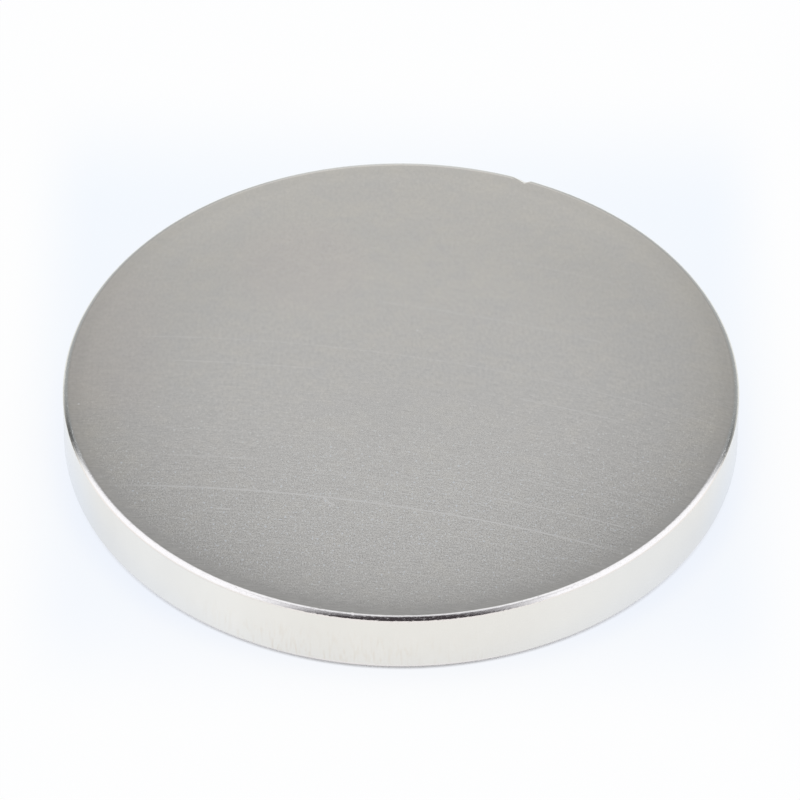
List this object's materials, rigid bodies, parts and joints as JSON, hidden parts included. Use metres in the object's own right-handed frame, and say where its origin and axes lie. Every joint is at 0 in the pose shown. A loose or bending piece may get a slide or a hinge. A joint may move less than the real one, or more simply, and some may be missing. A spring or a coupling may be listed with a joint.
{
  "type": "disc magnet",
  "caption": "Large flat disc magnet with rounded edges, nickel plated, satin on both faces and bright round the rim, with a small chip in its top edge.",
  "frame": {"origin": "middle of the flat underside, on the surface that the disc lies on", "axes": "+Z is the disc's axis and points out of the top face; +X is to the right and +Y is away from a viewer who has the chip at the back right"},
  "size_m": [0.1, 0.1, 0.01],
  "materials": {
    "nickel_plate": "satin"
  },
  "bodies": {
    "root": {"magnet_disc": "nickel_plate"}
  },
  "joints": []
}
